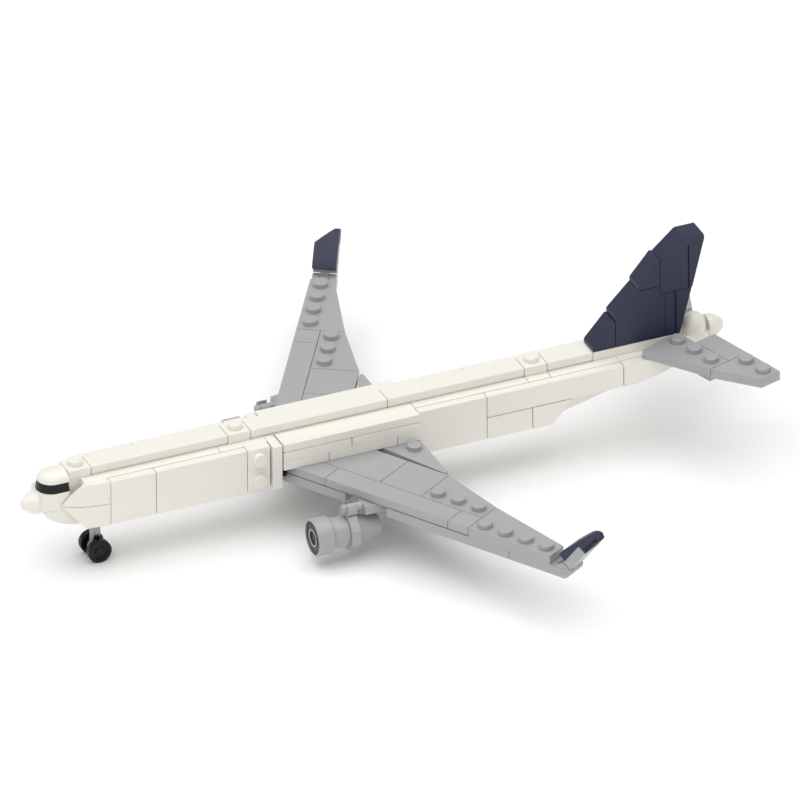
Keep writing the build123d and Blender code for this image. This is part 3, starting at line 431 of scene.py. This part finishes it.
@dataclass
class NoseFork:
    """The black teardrop arms that hold the nose axle on both sides of the grey strut."""

    finishes: Finishes
    arm_radius: float = 2.5 * MM
    arm_width: float = 0.55 * MM
    arm_gap: float = 0.12 * MM
    neck_share: float = 0.5
    neck_flatness: float = 0.2
    reach: float = 2.2 * MM
    edge: float = 0.12 * MM

    def build(self) -> None:
        """Build one arm on each side, drawn up into a neck under the belly."""
        strut_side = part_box("nose_strut")[1][1]
        wheels_low, wheels_high = (Vector(corner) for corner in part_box("nose_wheels"))
        axle = (wheels_low + wheels_high) / 2
        for name, side in (("left", 1), ("right", -1)):
            offset = strut_side + self.arm_gap + self.arm_width / 2
            centre = Vector((axle.x, side * offset, axle.z))
            arm = start_round(f"nose_fork_{name}", "Y", self.arm_radius, self.arm_width, centre)
            bpy.ops.object.mode_set(mode="EDIT")
            pick_faces(arm, lambda place, normal: normal.z > 0.75 and place.z > axle.z)
            bpy.ops.mesh.extrude_region_move(TRANSFORM_OT_translate={"value": (0, 0, self.reach)})
            bpy.ops.transform.resize(
                value=(self.neck_share, 1, self.neck_flatness),
                center_override=(axle.x, 0, axle.z + self.arm_radius + self.reach),
            )
            bpy.ops.object.mode_set(mode="OBJECT")
            soften(arm, self.edge, 2)
            self.finishes.dress(arm, "black_plastic")
            place_piece(arm, "airframe")


# ---- wing root painted shade -----------------------------------------------------------------


@dataclass
class WingRootPaintedShade:
    """Painted shade: a black block in the deep gap between each wing's front edge and the fuselage."""

    finishes: Finishes
    length: float = 2.0 * MM
    reach: float = 6.0 * MM
    height: float = 2.3 * MM
    clear: float = 0.15 * MM
    tip_inset: float = 0.4 * MM
    tip_rise: float = 0.8 * MM
    edge: float = 0.1 * MM

    def build(self) -> None:
        """Build a small tapered block on each side, on the wing's lower plate."""
        ring_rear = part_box("ring_plate")[0][0]
        core_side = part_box("centre_core")[1][1]
        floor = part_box("wing_fillers")[0][2] + self.clear
        for name, side in (("left", 1), ("right", -1)):
            middle_x = ring_rear - 2 * self.clear - self.length / 2
            middle_y = side * (core_side + self.clear + self.reach / 2)
            centre = Vector((middle_x, middle_y, floor + self.height / 2))
            bpy.ops.object.select_all(action="DESELECT")
            bpy.ops.mesh.primitive_cube_add(size=1, location=centre)
            block = bpy.context.object
            block.name = f"wing_root_painted_shade_{name}"
            block.scale = (self.length, self.reach, self.height)
            bpy.ops.object.transform_apply(location=True, rotation=True, scale=True)
            bpy.ops.object.mode_set(mode="EDIT")
            pick_faces(block, lambda place, normal: normal.y * side > 0.9)
            bpy.ops.mesh.inset(thickness=self.tip_inset)
            bpy.ops.mesh.extrude_region_move(TRANSFORM_OT_translate={"value": (0, side * self.tip_rise, 0)})
            bpy.ops.object.mode_set(mode="OBJECT")
            soften(block, self.edge, 2)
            # black plastic here is painted shade for the deep gap at the wing root
            self.finishes.dress(block, "black_plastic")
            place_piece(block, "airframe")


# ---- engines ----------------------------------------------------------------------------------


@dataclass
class EngineFace:
    """The dark fan disc at an engine's mouth, with a light ring and a sunk middle."""

    side: str
    finishes: Finishes
    ring_outer: float = 3.05 * MM
    ring_inner: float = 2.5 * MM
    ring_rise: float = 0.25 * MM
    hub_radius: float = 1.0 * MM
    sink: float = 0.3 * MM
    hub_share: float = 0.7
    disc_edge: float = 0.08 * MM
    ring_edge: float = 0.06 * MM

    def build(self) -> None:
        """Build the disc and the ring in place of the plain fan node."""
        low, high = (Vector(corner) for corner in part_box(f"engine_fan_{self.side}"))
        radius = (high.z - low.z) / 2
        face = high.x - self.ring_rise
        thick = face - low.x
        axis = Vector((0, (low.y + high.y) / 2, (low.z + high.z) / 2))
        centre = axis + Vector((face - thick / 2, 0, 0))
        disc = start_round(f"fan_disc_{self.side}", "X", radius, thick, centre)
        bpy.ops.object.mode_set(mode="EDIT")
        pick_faces(disc, lambda place, normal: normal.x > 0.9)
        step_in(radius - self.ring_inner, Vector((-self.sink, 0, 0)))
        step_in(self.ring_inner - self.hub_radius, Vector((self.sink * self.hub_share, 0, 0)))
        bpy.ops.object.mode_set(mode="OBJECT")
        soften(disc, self.disc_edge, 2)
        self.finishes.dress(disc, "dark_grey_plastic")
        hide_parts(f"engine_fan_{self.side}")
        place_piece(disc, f"engine_{self.side}")
        middle = axis + Vector((face + self.ring_rise / 2, 0, 0))
        ring = start_round(f"fan_ring_{self.side}", "X", self.ring_outer, self.ring_rise, middle)
        bpy.ops.object.mode_set(mode="EDIT")
        pick_faces(ring, lambda place, normal: abs(normal.x) > 0.9)
        bpy.ops.mesh.inset(thickness=self.ring_outer - self.ring_inner)
        bpy.ops.mesh.bridge_edge_loops()
        bpy.ops.object.mode_set(mode="OBJECT")
        soften(ring, self.ring_edge, 2)
        self.finishes.dress(ring, "grey_plastic")
        place_piece(ring, f"engine_{self.side}")


# ---- studio -------------------------------------------------------------------------------


@dataclass
class Studio:
    """A pale floor, soft lights and the camera."""

    azimuth: float = 23.4
    elevation: float = 30.59
    roll: float = 0.38
    view_width: float = 257.2 * MM
    aim_station_from_middle: float = -2.494 * MM
    aim_height: float = 25.0 * MM
    shift_across: float = 5.49 * MM
    shift_up: float = 7.62 * MM
    floor_size: float = 6.0
    floor_colour: str = "#FFFFFF"
    sky_strength: float = 0.45
    overhead_place: tuple[float, float, float] = (0.2, 0.1, 2.0)
    overhead_size: float = 3.0
    overhead_watts: float = 44.0
    fill_place: tuple[float, float, float] = (0.7, 0.6, 0.5)
    fill_size: float = 0.8
    fill_watts: float = 0.4

    def build_floor(self) -> None:
        """Lay the floor that the model stands on."""
        bpy.ops.object.select_all(action="DESELECT")
        bpy.ops.mesh.primitive_plane_add(size=self.floor_size)
        floor = bpy.context.object
        floor.name = "floor"
        material = bpy.data.materials.new("matt paper")
        material.use_nodes = True
        shader = material.node_tree.nodes["Principled BSDF"]
        shader.inputs["Base Color"].default_value = hex_to_linear(self.floor_colour)
        shader.inputs["Roughness"].default_value = 0.9
        shader.inputs["Specular IOR Level"].default_value = 0.1
        floor.data.materials.append(material)

    def add_light(self, name: str, place: Vector, size: float, power: float) -> None:
        """Add one square soft light that looks at the model.

        Args:
            name: The light's name.
            place: Where it stands, in metres.
            size: The length of its sides, in metres.
            power: Its power in watts.
        """
        data = bpy.data.lights.new(name, "AREA")
        data.size = size
        data.energy = power
        light = bpy.data.objects.new(name, data)
        light.location = place
        light.rotation_mode = "QUATERNION"
        light.rotation_quaternion = (-place).to_track_quat("-Z", "Y")
        bpy.context.collection.objects.link(light)

    def build_lights(self) -> None:
        """Light the model softly from above, with a weaker light from the camera's side."""
        world = bpy.data.worlds.new("studio")
        world.use_nodes = True
        world.node_tree.nodes["Background"].inputs["Color"].default_value = (1.0, 1.0, 1.0, 1.0)
        world.node_tree.nodes["Background"].inputs["Strength"].default_value = self.sky_strength
        bpy.context.scene.world = world
        self.add_light("overhead", Vector(self.overhead_place), self.overhead_size, self.overhead_watts)
        self.add_light("front fill", Vector(self.fill_place), self.fill_size, self.fill_watts)

    def build_camera(self) -> None:
        """Place the camera for a parallel view from the port bow."""
        turn, rise = math.radians(self.azimuth), math.radians(self.elevation)
        toward = Vector((math.sin(turn) * math.cos(rise), math.cos(turn) * math.cos(rise), math.sin(rise)))
        right = Vector((-math.cos(turn), math.sin(turn), 0))
        up = toward.cross(right)
        aim = Vector((self.aim_station_from_middle, 0, self.aim_height))
        aim += right * self.shift_across + up * self.shift_up
        tilt = math.radians(self.roll)
        across = right * math.cos(tilt) - up * math.sin(tilt)
        upward = right * math.sin(tilt) + up * math.cos(tilt)
        data = bpy.data.cameras.new("camera")
        data.type = "ORTHO"
        data.ortho_scale = self.view_width
        data.clip_start = 0.01
        data.clip_end = 20.0
        camera = bpy.data.objects.new("camera", data)
        camera.matrix_world = Matrix.Translation(aim + toward * 1.0) @ Matrix(
            (across, upward, toward)
        ).transposed().to_4x4()
        bpy.context.collection.objects.link(camera)
        bpy.context.scene.camera = camera

    def build(self) -> None:
        """Set up the whole studio."""
        self.build_floor()
        self.build_lights()
        self.build_camera()
        bpy.context.scene.view_settings.view_transform = "Standard"
        LOG.info("studio ready")


def main() -> None:
    """Build the airliner's looks and the studio round it."""
    logging.basicConfig(level=logging.INFO, format="%(name)s: %(message)s")
    finishes = Finishes()
    finishes.build()
    MouldedBricks(finishes).dress()
    for node in ("nose_wheels", "main_wheels_left", "main_wheels_right"):
        WheelPair(node, finishes).build()
    NoseFork(finishes).build()
    WingRootPaintedShade(finishes).build()
    for side in ("left", "right"):
        EngineFace(side, finishes).build()
    Studio().build()


if __name__ == "__main__":
    main()
